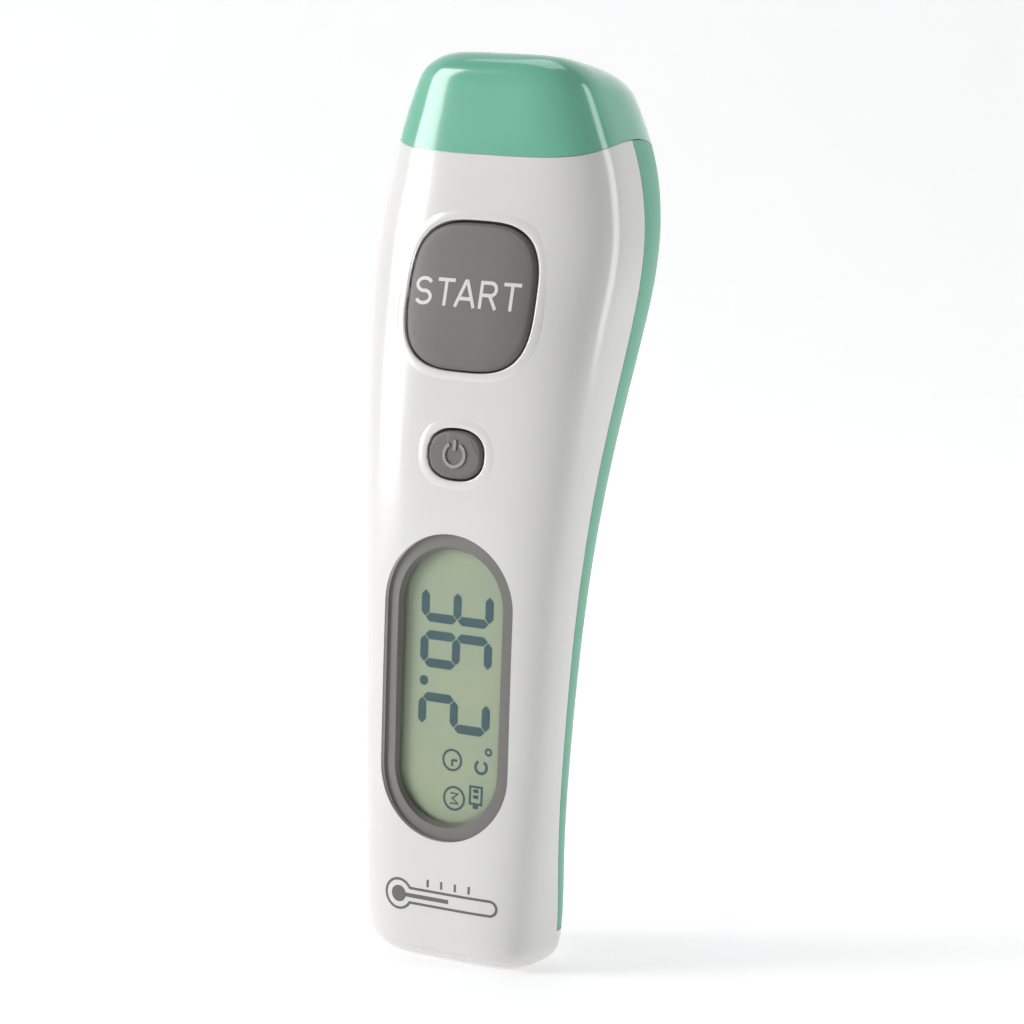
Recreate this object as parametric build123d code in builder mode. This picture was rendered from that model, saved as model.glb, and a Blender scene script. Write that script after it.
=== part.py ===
from build123d import *
import os
from math import cos, radians, sin, sqrt

# No-touch infrared thermometer wand for a baby: a white front shell, a mint rear shell, a lift-off cap over
# the sensor, a battery door, two buttons, a display and the electronics inside.
# Frame: +Z from the foot to the head, the display and buttons face -Y, +X to the right seen from the front.
# The origin is the centre of the flat foot. All sizes are in millimetres.

os.makedirs("parts", exist_ok=True)

# ---- driving dimensions: outside
body_length = 150.0
head_length = 66.0
foot_width = 32.6
grip_width = 36.0
neck_width = 41.2
head_width = 46.0
crown_width = 30.2
grip_front = 10.5
grip_back = 11.4
head_back = 33.4
foot_round = 4.5
crown_round = 5.5
crown_tilt = 8.0
front_squareness = 3.8
back_squareness = 2.05
foot_rim = 6.0
seam_gap = 0.15

# ---- walls
shell_wall = 2.0
door_wall = 1.2
cap_wall = 1.5
cap_clearance = 0.3
part_gap = 0.1

# ---- cap seam: an arc over the sides of the head
cap_seam_drop = 13.2
cap_seam_depth = 12.0
cap_seam_radius = 37.8

# ---- battery door
door_height = 61.5
door_corner = 7.5
door_gap = 0.25
ledge_clearance = 0.4
ledge_thickness = 2.2
ledge_half_width = 12.0
ledge_reach = 6.5
hook_width = 3.0
hook_drop = 1.2
hook_wall = 1.0
hook_root = 1.8
hook_inset = 0.3

# ---- display, in layers from the front
bezel_bottom = 20.9
bezel_width = 24.0
bezel_opening_width = 18.6
bezel_to_power = 13.1
bezel_recess = 0.9
bezel_lip = 1.1
bezel_slope = 30.0
bezel_flange_width = 24.6
bezel_flange_thickness = 1.0
bezel_clearance = 0.05
window_thickness = 0.8
window_margin = 1.0
glass_thickness = 1.5
glass_margin = 1.6
reflector_thickness = 1.3
reflector_width = 17.0
strip_width = 1.6
layer_gap = 0.05
backlight_width = 2.2
backlight_size = 1.4
backlight_thickness = 1.0
backlight_rise = 0.6

# ---- START button, on a plane that leans back with the head
start_drop = 39.2
start_lean = 12.0
start_half_width = 11.6
start_half_height = 12.1
start_squareness = 3.1
start_travel = 0.8
start_wall = 1.5
start_skirt = 3.6
start_edge = 0.8

# ---- power button
power_drop = 64.8
power_lean = 4.5
power_half_width = 5.0
power_half_height = 3.95
power_squareness = 2.4
power_travel = 0.6
power_wall = 1.2
power_skirt = 3.1
power_edge = 0.6

# ---- shared by both buttons
button_proud = 0.35
button_gap = 0.4
button_flange = 0.9
button_flange_thickness = 0.8
button_shelf = 0.6
stem_radius = 1.9
stem_clearance = 0.1

# ---- boards
board_thickness = 1.0
board_half_width = 12.3
board_bottom = 9.5
board_over_power = 12.8
start_board_depth = 7.0
start_board_half_width = 16.4
start_board_half_height = 8.0
switch_width = 4.4
switch_body = 1.6
switch_plunger = 0.5
plunger_radius = 1.6

# ---- two AAA cells, side by side
cell_radius = 5.25
cell_length = 44.5
cell_nub_radius = 1.9
cell_nub = 0.8
cell_spacing = 10.7
contact_thickness = 0.3
spring_height = 1.7
spring_wire = 0.25
spring_turn_radius = 2.4
tray_floor = 0.8
tray_wall = 1.0
tray_bottom = 4.6
tray_side_reach = 4.0
lug_height = 49.0
lug_offset = 14.1
lug_half = 1.8
lug_thickness = 1.2

# ---- screws
screw_radius = 0.8
screw_length = 5.2
screw_head_radius = 1.5
screw_head = 1.0
pilot_clearance = 0.05
boss_radius = 1.7

# ---- sensor
sensor_depth = 14.0
nose_top_drop = 8.5
nose_wall = 1.6
nose_plate = 1.7
nose_flange = 0.8
nose_flange_thickness = 1.2
nose_bottom_drop = 22.8
funnel_mouth = 5.0
funnel_throat = 2.8
funnel_length = 5.2
funnel_wall = 0.9
funnel_lip = 1.2
can_radius = 4.1
can_height = 3.6
can_base_radius = 4.55
can_base = 0.5
filter_radius = 2.6
filter_thickness = 0.5
holder_wall = 2.4
sensor_board_radius = 8.2
pin_radius = 0.23
ribbon_thickness = 0.2
ribbon_width = 6.0

# ---- heights and depths that follow from them
ledge_inset = door_wall + ledge_clearance
neck_height = body_length - head_length
crown_top = body_length + crown_round * sin(radians(crown_tilt))
start_height = body_length - start_drop
power_height = body_length - power_drop
bezel_top = power_height - bezel_to_power
bezel_height = bezel_top - bezel_bottom
bezel_middle = (bezel_top + bezel_bottom) / 2
glass_width = bezel_opening_width + 2 * glass_margin
cap_seam_height = body_length - cap_seam_drop
opening_height = bezel_height - (bezel_width - bezel_opening_width)
glass_height = opening_height + 2 * glass_margin
strip_offset = (glass_width - strip_width) / 2
window_front = -grip_front + bezel_recess + bezel_lip
glass_front = window_front + window_thickness + layer_gap
reflector_front = glass_front + glass_thickness + layer_gap
board_front = reflector_front + reflector_thickness + part_gap
board_back = board_front + board_thickness
board_top = power_height + board_over_power
tray_front = board_back + part_gap
cell_depth = tray_front + tray_floor + layer_gap + cell_radius
bay_bottom = tray_bottom + tray_wall
bay_top = bay_bottom + 2 * contact_thickness + spring_height + cell_length
tray_half_width = cell_spacing / 2 + cell_radius + part_gap + tray_wall


def blend(low, high, share):
    return low + (high - low) * share


# ---- the body's cross-sections: height, half width, reach to the front, place of the seam, reach to the back
sections = [
    (0, foot_width / 2, grip_front - 0.9, 1.5, grip_back - 1.7),
    (neck_height * 0.21, blend(foot_width, grip_width, 0.5) / 2, grip_front - 0.1, -0.6, grip_back - 1.0),
    (neck_height * 0.48, grip_width / 2, grip_front, -1.6, grip_back),
    (neck_height * 0.74, blend(grip_width, neck_width, 0.35) / 2, grip_front + 0.1, -0.6, grip_back + 3.0),
    (neck_height, neck_width / 2, grip_front - 0.9, 1.9, blend(grip_back, head_back, 0.38)),
    (body_length - 46, blend(neck_width, head_width, 0.72) / 2, 7.9, 6.7, blend(grip_back, head_back, 0.71)),
    (body_length - 30, head_width / 2, 4.6, 9.7, head_back - 1.3),
    (body_length - 18, blend(head_width, crown_width, 0.24) / 2, 3.2, 10.6, head_back),
    (body_length - 9, blend(head_width, crown_width, 0.62) / 2, 3.0, 10.1, head_back - 0.5),
    (body_length, crown_width / 2, 3.0, 9.4, head_back - 1.1),
]


# a column of the sections at any height, on a smooth cubic through its neighbours
def column_at(column, height):
    last = len(sections) - 1
    index = max(i for i in range(last) if i == 0 or sections[i][0] <= height)
    span = sections[index + 1][0] - sections[index][0]
    share = (height - sections[index][0]) / span

    def slope(i):
        low, high = max(i - 1, 0), min(i + 1, last)
        return (sections[high][column] - sections[low][column]) / (sections[high][0] - sections[low][0])

    start, end = sections[index][column], sections[index + 1][column]
    rise_out = (2 * share**3 - 3 * share**2 + 1) * start + (3 * share**2 - 2 * share**3) * end
    bend = (share**3 - 2 * share**2 + share) * slope(index) + (share**3 - share**2) * slope(index + 1)
    return rise_out + bend * span


def half_width_at(height):
    return column_at(1, height)


def front_at(height):
    return -column_at(2, height)


def seam_at(height):
    return column_at(3, height)


def back_at(height):
    return column_at(4, height)


# distance from the middle of a squircle of half size 1 to its outline
def squircle_reach(angle, squareness):
    return (abs(cos(angle)) ** squareness + abs(sin(angle)) ** squareness) ** (-1 / squareness)


# the right half of the body's outline at a height, from the front centre line round to the back one
def right_outline(height, inset):
    points = []
    for degrees in range(-90, 91, 15):
        angle = radians(degrees)
        squareness = front_squareness if degrees < 0 else back_squareness
        end = front_at(height) + inset if degrees < 0 else back_at(height) - inset
        depth = abs(end - seam_at(height))
        reach = squircle_reach(angle, squareness)
        x = 0 if abs(degrees) == 90 else (half_width_at(height) - inset) * cos(angle) * reach
        points.append((x, seam_at(height) + depth * sin(angle) * reach))
    return points


# the body's form, drawn in by an inset, with rounded ends; towards the crown its sections lean back
def body_form(inset, foot, crown, foot_radius, crown_radius):
    quarter = [radians(degrees) for degrees in (0, 18, 36, 54, 72, 90)]
    levels = [(foot + foot_radius * (1 - sin(a)), foot_radius * (1 - cos(a))) for a in reversed(quarter)]
    levels += [(height, 0) for height in (row[0] for row in sections[1:-2])]
    levels += [(crown - crown_radius * (1 - sin(a)), crown_radius * (1 - cos(a))) for a in quarter]
    levels.sort(key=lambda level: level[0])
    lean_start = body_length - 18
    with BuildPart() as form:
        for height, pull in levels:
            lean = radians(crown_tilt) * max(0, (height - lean_start) / (body_length - lean_start))
            pivot = front_at(height)
            plane = Plane(origin=(0, pivot, height), x_dir=(1, 0, 0), z_dir=(0, sin(lean), cos(lean)))
            with BuildSketch(plane):
                with BuildLine():
                    Spline(
                        *[(x, (y - pivot) / cos(lean)) for x, y in right_outline(height, inset + pull)],
                        tangents=[(1, 0), (-1, 0)],
                    )
                    mirror(about=Plane.YZ)
                make_face()
        loft()
    return form.part


def inner_form(inset):
    return body_form(inset, inset, crown_top - inset, foot_round - 1.9, crown_round - 1.5)


# a plane that faces the front, at a depth and a height
def facing_front(depth, height):
    return Plane(origin=(0, depth, height), x_dir=(1, 0, 0), z_dir=(0, -1, 0))


# a plane on the front surface at a height, leaning back, with its normal outwards
def on_front(height, lean):
    outwards = (0, -cos(radians(lean)), sin(radians(lean)))
    return Plane(origin=(0, front_at(height), height), x_dir=(1, 0, 0), z_dir=outwards)


def squircle_face(half_width, half_height, squareness):
    angles = [radians(degrees) for degrees in range(0, 181, 15)]
    points = []
    for angle in angles:
        reach = squircle_reach(angle, squareness)
        points.append((half_width * cos(angle) * reach, half_height * sin(angle) * reach))
    points[0], points[-1] = (half_width, 0), (-half_width, 0)
    with BuildSketch() as face:
        with BuildLine():
            Spline(*points, tangents=[(0, 1), (0, -1)])
            mirror(about=Plane.XZ)
        make_face()
    return face.sketch


def finish(piece, name):
    piece.part.label = name
    export_step(piece.part, f"parts/{name}.step")


# the outlines of the two buttons, larger or smaller by a margin
def start_face(margin):
    return squircle_face(start_half_width + margin, start_half_height + margin, start_squareness)


def power_face(margin):
    return squircle_face(power_half_width + margin, power_half_height + margin, power_squareness)


# ---- forms and regions shared by several pieces
outer_form = body_form(0, 0, crown_top, foot_round, crown_round)
cavity_form = inner_form(shell_wall)
skin_form = inner_form(shell_wall / 2)
reach_out = 60.0


# the side view of everything in front of the seam (with the whole foot), or behind it
def seam_region(shift, rim, in_front):
    top = body_length + 10
    rows = [rim] + [row[0] for row in sections[1:]]
    curve = [(seam_at(height) + shift, height) for height in rows]
    side = -reach_out if in_front else reach_out
    with BuildPart() as region:
        with BuildSketch(Plane.YZ):
            with BuildLine():
                Spline(*curve)
                if in_front:
                    Polyline(curve[-1], (curve[-1][0], top), (side, top), (side, -10), (reach_out, -10))
                    Polyline((reach_out, -10), (reach_out, rim), curve[0])
                else:
                    Polyline(curve[-1], (curve[-1][0], top), (side, top), (side, rim), curve[0])
            make_face()
        extrude(amount=reach_out, both=True)
    return region.part


# the side view of everything below the cap's seam, or above it
def cap_region(shift, below):
    def arc_point(depth):
        fall = cap_seam_radius - sqrt(cap_seam_radius**2 - (depth - cap_seam_depth) ** 2)
        return (depth, cap_seam_height - fall + shift)

    ends = cap_seam_depth - 34, cap_seam_depth + 34
    side = -10 if below else body_length + 20
    with BuildPart() as region:
        with BuildSketch(Plane.YZ):
            with BuildLine():
                ThreePointArc(arc_point(ends[0]), arc_point(cap_seam_depth), arc_point(ends[1]))
                Polyline(arc_point(ends[1]), (ends[1], side), (ends[0], side), arc_point(ends[0]))
            make_face()
        extrude(amount=reach_out, both=True)
    return region.part


# the rear view of the battery door: rounded top corners, open downwards
def door_region(gap):
    half_width = half_width_at(door_height) + gap
    with BuildPart() as region:
        with BuildSketch(facing_front(0, 0)):
            with BuildLine():
                FilletPolyline(
                    (-half_width, -10),
                    (-half_width, door_height + gap),
                    (half_width, door_height + gap),
                    (half_width, -10),
                    radius=door_corner + gap,
                )
                Line((half_width, -10), (-half_width, -10))
            make_face()
        extrude(amount=-reach_out)
    return region.part


front_region = seam_region(-seam_gap / 2, foot_rim, True)
rear_region = seam_region(seam_gap / 2, foot_rim, False)
below_cap = cap_region(-seam_gap / 2, True)
start_plane = on_front(start_height, start_lean)
power_plane = on_front(power_height, power_lean)
proud_form = body_form(-button_proud, 0, crown_top, foot_round, crown_round)


# the bezel's outline and its opening are slots, larger by a margin
def bezel_face(margin):
    with BuildSketch() as face:
        SlotOverall(bezel_height + 2 * margin, bezel_width + 2 * margin, rotation=90)
    return face.sketch


def opening_face(margin):
    with BuildSketch() as face:
        SlotOverall(opening_height + 2 * margin, bezel_opening_width + 2 * margin, rotation=90)
    return face.sketch

# ---- screw places: two through the tray's lugs, one through the rear ledge, two through the button board
ledge_screw_height = door_height - 3.9
ledge_outer = back_at(ledge_screw_height) - ledge_inset
start_board_plane = start_plane.offset(-start_board_depth)
board_screw_offset = start_half_width + button_flange + 0.5 + boss_radius
facing_back = (0, 1, 0)
screw_planes = [
    Plane(origin=(side * lug_offset, tray_front + lug_thickness, lug_height), z_dir=facing_back)
    for side in (-1, 1)
]
screw_planes.append(Plane(origin=(0, ledge_outer - screw_head, ledge_screw_height), z_dir=facing_back))
for side in (-1, 1):
    seat = start_board_plane.offset(-board_thickness).from_local_coords((side * board_screw_offset, 0, 0))
    screw_planes.append(Plane(origin=seat, z_dir=-start_plane.z_dir))

with BuildPart() as shell_screws:
    for plane in screw_planes:
        with BuildSketch(plane):
            Circle(screw_head_radius)
        extrude(amount=screw_head)
        with BuildSketch(plane):
            Circle(screw_radius)
        extrude(amount=-screw_length)
        with BuildSketch(plane.offset(screw_head)):
            Rectangle(1.8, 0.45)
            Rectangle(0.45, 1.8)
        extrude(amount=-0.5, mode=Mode.SUBTRACT)
finish(shell_screws, "shell_screws")

with BuildPart() as pilot_holes:
    for plane in screw_planes:
        with BuildSketch(plane):
            Circle(screw_radius + pilot_clearance)
        extrude(amount=-screw_length - 0.4)

# ---- sensor nose: the plug under the cap, held by a flange in a groove of both shells
nose_inset = cap_wall + cap_clearance
nose_top = body_length - nose_top_drop
nose_bottom = body_length - nose_bottom_drop
shell_inset = shell_wall + part_gap


def slab(low, high):
    with BuildPart() as layer:
        with BuildSketch(Plane.XY.offset(low)):
            Rectangle(4 * reach_out, 4 * reach_out)
        extrude(amount=high - low)
    return layer.part


with BuildPart() as nose_groove:
    add(inner_form(shell_inset - nose_flange - part_gap))
    add(slab(nose_bottom - part_gap, nose_bottom + nose_flange_thickness + part_gap), mode=Mode.INTERSECT)

# ---- front shell
with BuildPart() as shell_bosses:
    for plane in screw_planes[:2]:
        with BuildSketch(plane.offset(-lug_thickness - layer_gap)):
            Circle(boss_radius)
        extrude(amount=-grip_front)
    for plane in screw_planes[3:]:
        with BuildSketch(plane.offset(-board_thickness - layer_gap)):
            Circle(boss_radius)
        extrude(amount=-start_board_depth)
    add(skin_form, mode=Mode.INTERSECT)

with BuildPart() as front_shell:
    add(outer_form)
    add(cavity_form, mode=Mode.SUBTRACT)
    add(shell_bosses.part)
    add(front_region, mode=Mode.INTERSECT)
    add(below_cap, mode=Mode.INTERSECT)
    with BuildSketch(facing_front(tray_front, bezel_middle)):
        add(bezel_face(bezel_clearance))
    extrude(amount=reach_out, mode=Mode.SUBTRACT)
    with BuildSketch(start_plane.offset(-start_skirt)):
        add(start_face(button_gap))
    extrude(amount=reach_out, mode=Mode.SUBTRACT)
    with BuildSketch(power_plane.offset(-power_skirt)):
        add(power_face(button_gap))
    extrude(amount=reach_out, mode=Mode.SUBTRACT)
    add(pilot_holes.part, mode=Mode.SUBTRACT)
    add(nose_groove.part, mode=Mode.SUBTRACT)
finish(front_shell, "front_shell")

with BuildPart() as nose_rim:
    add(inner_form(shell_inset - nose_flange))
    add(slab(nose_bottom, nose_bottom + nose_flange_thickness), mode=Mode.INTERSECT)

with BuildPart() as nose_hollow:
    add(inner_form(shell_inset + nose_wall))
    add(slab(nose_bottom - 1, nose_top - nose_plate), mode=Mode.INTERSECT)

with BuildPart() as sensor_nose:
    add(inner_form(shell_inset))
    add(slab(nose_bottom, nose_top), mode=Mode.INTERSECT)
    add(nose_rim.part)
    add(nose_hollow.part, mode=Mode.SUBTRACT)
    with BuildSketch(Plane.XY.offset(nose_top)):
        with Locations((0, sensor_depth)):
            Circle(funnel_mouth + funnel_wall + part_gap)
    extrude(amount=-2 * nose_plate, mode=Mode.SUBTRACT)
finish(sensor_nose, "sensor_nose")

# ---- rear shell, with the ledge that the door's top closes over
with BuildPart() as ledge:
    add(inner_form(ledge_inset))
    add(inner_form(ledge_inset + ledge_thickness), mode=Mode.SUBTRACT)
    with BuildSketch(facing_front(grip_back / 2, door_height - ledge_reach / 2 + 2)):
        Rectangle(2 * ledge_half_width, ledge_reach + 4)
    extrude(amount=-reach_out, mode=Mode.INTERSECT)

with BuildPart() as rear_shell:
    add(outer_form)
    add(cavity_form, mode=Mode.SUBTRACT)
    add(door_region(door_gap), mode=Mode.SUBTRACT)
    add(ledge.part)
    add(rear_region, mode=Mode.INTERSECT)
    add(below_cap, mode=Mode.INTERSECT)
    add(nose_groove.part, mode=Mode.SUBTRACT)
    add(pilot_holes.part, mode=Mode.SUBTRACT)
    with BuildSketch(screw_planes[2]):
        Circle(screw_head_radius + part_gap)
    extrude(amount=reach_out, mode=Mode.SUBTRACT)
finish(rear_shell, "rear_shell")

# ---- battery door, with a hook between the cells that reaches inside the foot's rim


def hook_band(outer, inner, low, high):
    with BuildPart() as band:
        add(inner_form(outer))
        add(inner_form(inner), mode=Mode.SUBTRACT)
        with BuildSketch(facing_front(grip_back / 2, (low + high) / 2)):
            Rectangle(hook_width, high - low)
        extrude(amount=-reach_out, mode=Mode.INTERSECT)
    return band.part


hook_outer = shell_wall + hook_inset
hook_top = foot_rim + door_gap + hook_root
hooks = hook_band(hook_outer, hook_outer + hook_wall, foot_rim - hook_drop, hook_top)
hook_roots = hook_band(door_wall / 2, hook_outer + hook_wall, foot_rim + door_gap, hook_top)

with BuildPart() as battery_door:
    add(outer_form)
    add(inner_form(door_wall), mode=Mode.SUBTRACT)
    add(seam_region(seam_gap / 2, foot_rim + door_gap, False), mode=Mode.INTERSECT)
    add(door_region(0), mode=Mode.INTERSECT)
    add(hook_roots)
    add(hooks)
finish(battery_door, "battery_door")

# ---- protective cap
with BuildPart() as protective_cap:
    add(outer_form)
    add(inner_form(cap_wall), mode=Mode.SUBTRACT)
    add(cap_region(seam_gap / 2, False), mode=Mode.INTERSECT)
finish(protective_cap, "protective_cap")


# ---- buttons: a crown, a skirt, a retaining flange and a stem to the switch
with BuildPart() as start_crown:
    with BuildSketch(start_plane.offset(-start_skirt)):
        add(start_face(0))
    extrude(amount=start_skirt + crown_round)
    add(proud_form, mode=Mode.INTERSECT)
    fillet(start_crown.faces().sort_by(Axis((0, 0, 0), start_plane.z_dir))[-1].edges(), start_edge)

# the small crown is flat, with a rounded edge made of shrinking squircles
with BuildPart() as power_crown:
    rim = button_proud - power_edge
    with BuildSketch(power_plane.offset(-power_skirt)):
        add(power_face(0))
    extrude(amount=power_skirt + rim)
    for degrees in (0, 20, 40, 60, 80):
        angle = radians(degrees)
        with BuildSketch(power_plane.offset(rim + power_edge * sin(angle))):
            add(power_face(-power_edge * (1 - cos(angle))))
    loft(ruled=True)


def make_button(name, crown, plane, face, wall, skirt, stem_end):
    with BuildPart() as button:
        add(crown)
        with BuildSketch(plane.offset(-skirt)):
            add(face(button_flange))
        extrude(amount=button_flange_thickness)
        with BuildSketch(plane.offset(-skirt)):
            add(face(-wall))
        extrude(amount=skirt - wall - button_shelf, mode=Mode.SUBTRACT)
        with BuildSketch(plane.offset(-stem_end)):
            Circle(stem_radius)
        extrude(amount=stem_end - wall)
    finish(button, name)


start_stem_end = start_board_depth - switch_body - switch_plunger - start_travel - stem_clearance
make_button("start_button", start_crown.part, start_plane, start_face, start_wall, start_skirt, start_stem_end)
power_board_depth = (board_front - front_at(power_height)) / cos(radians(power_lean))
power_stem_dip = plunger_radius * sin(radians(power_lean))
power_stem_end = power_board_depth - switch_body - switch_plunger - power_travel - stem_clearance
power_stem_end -= power_stem_dip
make_button("power_button", power_crown.part, power_plane, power_face, power_wall, power_skirt, power_stem_end)

# ---- display
with BuildPart() as display_bezel:
    flange_front = glass_front + glass_thickness - bezel_flange_thickness
    with BuildSketch(facing_front(glass_front + glass_thickness, bezel_middle)):
        add(bezel_face(0))
    extrude(amount=grip_front)
    add(body_form(bezel_recess, 0, crown_top, foot_round, crown_round), mode=Mode.INTERSECT)
    with BuildSketch(facing_front(glass_front + glass_thickness, bezel_middle)):
        RectangleRounded(bezel_flange_width, bezel_height - 1, 4)
    extrude(amount=bezel_flange_thickness)
    with BuildSketch(facing_front(0, bezel_middle)):
        add(opening_face(0))
    extrude(amount=reach_out, mode=Mode.SUBTRACT)
    with BuildSketch(facing_front(window_front, bezel_middle)):
        add(opening_face(0))
    extrude(amount=2 * bezel_lip, taper=-bezel_slope, mode=Mode.SUBTRACT)
    with BuildSketch(facing_front(window_front, bezel_middle)):
        add(opening_face(window_margin + bezel_clearance))
    extrude(amount=-grip_front, mode=Mode.SUBTRACT)
    with BuildSketch(facing_front(glass_front - layer_gap, bezel_middle)):
        Rectangle(glass_width + 2 * bezel_clearance, glass_height + 2 * bezel_clearance)
    extrude(amount=-grip_front, mode=Mode.SUBTRACT)
finish(display_bezel, "display_bezel")

with BuildPart() as display_window:
    with BuildSketch(facing_front(window_front + window_thickness, bezel_middle)):
        add(opening_face(window_margin))
    extrude(amount=window_thickness)
finish(display_window, "display_window")

with BuildPart() as lcd_glass:
    with BuildSketch(facing_front(glass_front + glass_thickness, bezel_middle)):
        Rectangle(glass_width, glass_height)
    extrude(amount=glass_thickness)
finish(lcd_glass, "lcd_glass")

with BuildPart() as lcd_reflector:
    with BuildSketch(facing_front(reflector_front + reflector_thickness, bezel_middle)):
        Rectangle(reflector_width, glass_height - 2)
    extrude(amount=reflector_thickness)
finish(lcd_reflector, "lcd_reflector")

with BuildPart() as elastomer_strips:
    with BuildSketch(facing_front(board_front - layer_gap, bezel_middle)):
        with Locations((-strip_offset, 0), (strip_offset, 0)):
            Rectangle(strip_width, glass_height - 6)
    extrude(amount=board_front - layer_gap - reflector_front)
finish(elastomer_strips, "elastomer_strips")


# ---- boards and what is soldered on them
def box_on(plane, width, height, thickness):
    with BuildPart() as block:
        with BuildSketch(plane):
            Rectangle(width, height)
        extrude(amount=thickness)
    return block.part


def on_board_back(x, height):
    return Plane(origin=(x, board_back, height), x_dir=(1, 0, 0), z_dir=(0, 1, 0))


with BuildPart() as main_board:
    with BuildSketch(facing_front(board_back, (board_top + board_bottom) / 2)):
        RectangleRounded(2 * board_half_width, board_top - board_bottom, 1)
    extrude(amount=board_thickness)
finish(main_board, "main_board")

with BuildPart() as start_board:
    with BuildSketch(start_board_plane):
        RectangleRounded(2 * start_board_half_width, 2 * start_board_half_height, 1)
        with Locations((-board_screw_offset, 0), (board_screw_offset, 0)):
            Circle(screw_radius + pilot_clearance, mode=Mode.SUBTRACT)
    extrude(amount=-board_thickness)
finish(start_board, "start_board")


def make_switch(name, plane):
    with BuildPart() as switch:
        with BuildSketch(plane):
            RectangleRounded(switch_width, switch_width, 0.4)
        extrude(amount=switch_body)
        with BuildSketch(plane.offset(switch_body)):
            Circle(plunger_radius)
        extrude(amount=switch_plunger)
    finish(switch, name)


make_switch("start_switch", start_board_plane)
make_switch("power_switch", facing_front(board_front, power_height))

controller_height = door_height + 7.5
with BuildPart() as controller_chip:
    with BuildSketch(on_board_back(-3, controller_height)):
        Rectangle(8, 8)
    extrude(amount=1.2)
    chamfer(controller_chip.faces().sort_by(Axis.Y)[-1].edges(), 0.2)
finish(controller_chip, "controller_chip")

with BuildPart() as crystal_can:
    with BuildSketch(on_board_back(7, controller_height)):
        SlotOverall(8, 3.4, rotation=90)
    extrude(amount=2.6)
finish(crystal_can, "crystal_can")

with BuildPart() as chip_capacitors:
    for x, rise in ((-10, -2), (-10, 2), (4, -5.5), (-3, 7), (1, 7)):
        with BuildSketch(on_board_back(x, controller_height + rise)):
            Rectangle(1.2, 2)
        extrude(amount=0.9)
finish(chip_capacitors, "chip_capacitors")

buzzer_height = power_height + 1.0
with BuildPart() as buzzer:
    with BuildSketch(on_board_back(0, buzzer_height)):
        Circle(6)
    extrude(amount=4.2)
    fillet(buzzer.faces().sort_by(Axis.Y)[-1].edges(), 0.5)
    with BuildSketch(on_board_back(0, buzzer_height).offset(4.2)):
        Circle(1)
    extrude(amount=-1.5, mode=Mode.SUBTRACT)
finish(buzzer, "buzzer")

backlight_height = bezel_middle + glass_height / 2 + backlight_rise
backlight_plane = facing_front(board_front, backlight_height)
backlight_led = box_on(backlight_plane, backlight_width, backlight_size, backlight_thickness)
with BuildPart() as backlight_leds:
    for x in (-4, 4):
        add(backlight_led.moved(Location((x, 0, 0))))
finish(backlight_leds, "backlight_leds")

# ---- battery tray: floor, side and end walls, a rib between the cells, two lugs and the post under the ledge
post_half_width = 3.2
post_top = ledge_screw_height + 3.4
with BuildPart() as tray_post:
    with BuildSketch(facing_front(tray_front, (bay_top + post_top) / 2)):
        Rectangle(2 * post_half_width, post_top - bay_top)
    extrude(amount=-reach_out)
    add(inner_form(ledge_inset + ledge_thickness + part_gap), mode=Mode.INTERSECT)

with BuildPart() as tray_hollow:
    with BuildSketch(facing_front(tray_front + tray_floor, (bay_bottom + bay_top) / 2)):
        Rectangle(2 * (tray_half_width - tray_wall), bay_top - bay_bottom)
    extrude(amount=-reach_out)

with BuildPart() as tray_block:
    with BuildSketch(facing_front(tray_front, (tray_bottom + bay_top + tray_wall) / 2)):
        Rectangle(2 * tray_half_width, bay_top + tray_wall - tray_bottom)
    extrude(amount=-(tray_side_reach - tray_front))
    add(inner_form(shell_wall + part_gap), mode=Mode.INTERSECT)

with BuildPart() as battery_tray:
    add(tray_block.part)
    add(tray_hollow.part, mode=Mode.SUBTRACT)
    with BuildSketch(facing_front(tray_front, (bay_bottom + bay_top) / 2)):
        Rectangle(0.6, bay_top - bay_bottom)
    extrude(amount=-tray_floor - 1.2)
    for side in (-1, 1):
        with BuildSketch(facing_front(tray_front, lug_height)):
            with Locations((side * (tray_half_width + lug_offset + lug_half) / 2, 0)):
                Rectangle(lug_offset + lug_half - tray_half_width + 0.2, 2 * lug_half)
        extrude(amount=-lug_thickness)
    add(tray_post.part)
    add(pilot_holes.part, mode=Mode.SUBTRACT)
finish(battery_tray, "battery_tray")

# ---- cells and their contacts; the left one stands nub up, the right one nub down
cell_places = {"left": -cell_spacing / 2, "right": cell_spacing / 2}
plate_half = cell_radius - 1.7


def make_cell(name, x, base, up):
    side = 1 if up else -1
    with BuildPart() as cell:
        with BuildSketch(Plane(origin=(x, cell_depth, base), z_dir=(0, 0, side))):
            Circle(cell_radius)
        extrude(amount=cell_length - cell_nub)
        fillet(cell.edges().filter_by(GeomType.CIRCLE), 0.4)
        with BuildSketch(Plane(origin=(x, cell_depth, base + side * (cell_length - cell_nub)), z_dir=(0, 0, side))):
            Circle(cell_nub_radius)
        extrude(amount=cell_nub)
    finish(cell, name)


low_plate = bay_bottom + contact_thickness
high_plate = bay_top - contact_thickness
make_cell("cell_left", cell_places["left"], low_plate + spring_height, True)
make_cell("cell_right", cell_places["right"], high_plate - spring_height, False)


def make_plate(name, x, low, width):
    with BuildPart() as plate_piece:
        with BuildSketch(Plane.XY.offset(low)):
            with Locations((x, cell_depth)):
                RectangleRounded(width, 2 * plate_half, 0.6)
        extrude(amount=contact_thickness)
    finish(plate_piece, name)


make_plate("cell_bridge", 0, bay_bottom, cell_spacing + 2 * plate_half)
make_plate("contact_plate_left", cell_places["left"], high_plate, 2 * plate_half)
make_plate("contact_plate_right", cell_places["right"], high_plate, 2 * plate_half)


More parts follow.
